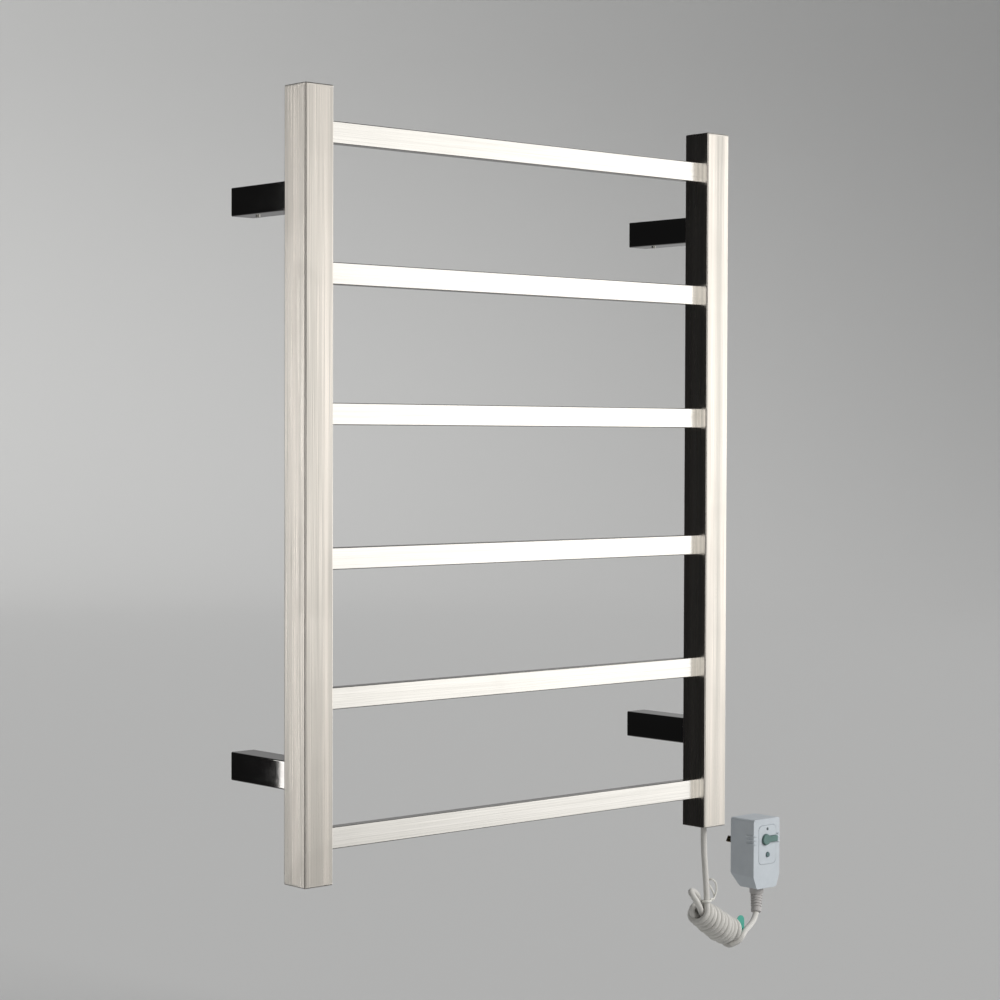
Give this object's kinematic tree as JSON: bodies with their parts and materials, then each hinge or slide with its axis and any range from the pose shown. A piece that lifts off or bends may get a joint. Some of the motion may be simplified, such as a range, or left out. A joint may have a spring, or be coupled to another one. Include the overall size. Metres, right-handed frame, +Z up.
{
  "type": "towel warmer rack",
  "caption": "Wall-hung electric towel warmer: two square posts, flat cross rails, four wall arms, and a tied mains cord with a safety plug.",
  "frame": {"origin": "centre of the four wall fixings, on the wall plane", "axes": "+X along the wall to the right, +Y into the wall, +Z up"},
  "size_m": [0.6513, 0.11, 0.806],
  "materials": {
    "post_steel": "satin vertical brushing",
    "rail_steel": "bright polish with a fine lengthwise grain",
    "cap_steel": "satin",
    "arm_steel": "mirror polish",
    "insert_zinc": "die cast, matt",
    "fixing_steel": "zinc plated",
    "heating_silicone": "satin silicone",
    "sleeve_black": "heat-shrink sleeve",
    "cutout_body": "glazed",
    "lead_brown": "pvc insulation",
    "lead_red": "pvc insulation",
    "lead_blue": "pvc insulation",
    "lead_earth": "pvc insulation",
    "lug_tin": "tinned",
    "gland_rubber": "matt",
    "clamp_nylon": "moulded nylon",
    "cord_pvc": "soft satin pvc jacket",
    "tie_wire": "plastic-coated wire",
    "tag_teal": "vinyl tag",
    "plug_plastic": "fine moulded texture",
    "panel_plastic": "smooth moulding",
    "pin_brass": "polished, partly nickel plated",
    "board_laminate": "solder mask",
    "relay_black": "moulded",
    "coil_ferrite": "wound ferrite",
    "solenoid_copper": "enamelled copper",
    "contact_bronze": "phosphor bronze",
    "lens_clear": "dark translucent lens",
    "button_green": "satin moulding",
    "button_grey": "satin moulding",
    "spring_steel": "drawn wire",
    "relief_pvc": "ribbed soft pvc"
  },
  "bodies": {
    "rack": {"left_post": "post_steel", "right_post": "post_steel", "rail_1": "rail_steel", "rail_2": "rail_steel", "rail_3": "rail_steel", "rail_4": "rail_steel", "rail_5": "rail_steel", "rail_6": "rail_steel", "post_cap_left_top": "cap_steel", "post_cap_left_bottom": "cap_steel", "post_cap_right_top": "cap_steel", "post_cap_right_bottom": "cap_steel", "wall_arm_left_top": "arm_steel", "wall_arm_left_bottom": "arm_steel", "wall_arm_right_top": "arm_steel", "wall_arm_right_bottom": "arm_steel", "wall_insert_left_top": "insert_zinc", "wall_insert_left_bottom": "insert_zinc", "wall_insert_right_top": "insert_zinc", "wall_insert_right_bottom": "insert_zinc", "grub_screws": "fixing_steel", "arm_bolts": "fixing_steel", "weld_nuts": "fixing_steel", "earth_stud": "fixing_steel", "earth_nut": "fixing_steel", "plug_screws": "fixing_steel", "heating_cable": "heating_silicone", "cable_end_seal": "sleeve_black", "cable_splice": "sleeve_black", "thermal_cutout": "cutout_body", "live_lead": "lead_brown", "cutout_lead": "lead_red", "neutral_lead": "lead_blue", "earth_lead": "lead_earth", "earth_lug": "lug_tin", "cord_gland": "gland_rubber", "cord_clamp": "clamp_nylon", "cord_jacket_end": "cord_pvc", "mains_cord_upper": "cord_pvc", "mains_cord_lower": "cord_pvc", "cord_hank": "cord_pvc", "cord_tie": "tie_wire", "cord_tag": "tag_teal", "plug_front_shell": "plug_plastic", "plug_back_shell": "plug_plastic", "plug_face_panel": "panel_plastic", "pin_live": "pin_brass", "pin_neutral": "pin_brass", "pin_earth": "pin_brass", "circuit_board": "board_laminate", "trip_relay": "relay_black", "sensing_coil": "coil_ferrite", "trip_solenoid": "solenoid_copper", "switch_contacts": "contact_bronze", "indicator_lens": "lens_clear", "reset_spring": "spring_steel", "test_spring": "spring_steel", "plug_strain_relief": "relief_pvc"},
    "reset": {"reset_button": "button_green"},
    "test": {"test_button": "button_grey"}
  },
  "joints": [
    {"name": "reset_press", "type": "slide", "parent": "rack", "child": "reset", "axis": [0, 1, 0], "range_m": [0, 0.0015], "stiffness_N_per_m": 500, "springref_m": -0.002, "deforming": ["reset_spring"]},
    {"name": "test_press", "type": "slide", "parent": "rack", "child": "test", "axis": [0, 1, 0], "range_m": [0, 0.0012], "stiffness_N_per_m": 500, "springref_m": -0.002, "deforming": ["test_spring"]}
  ]
}
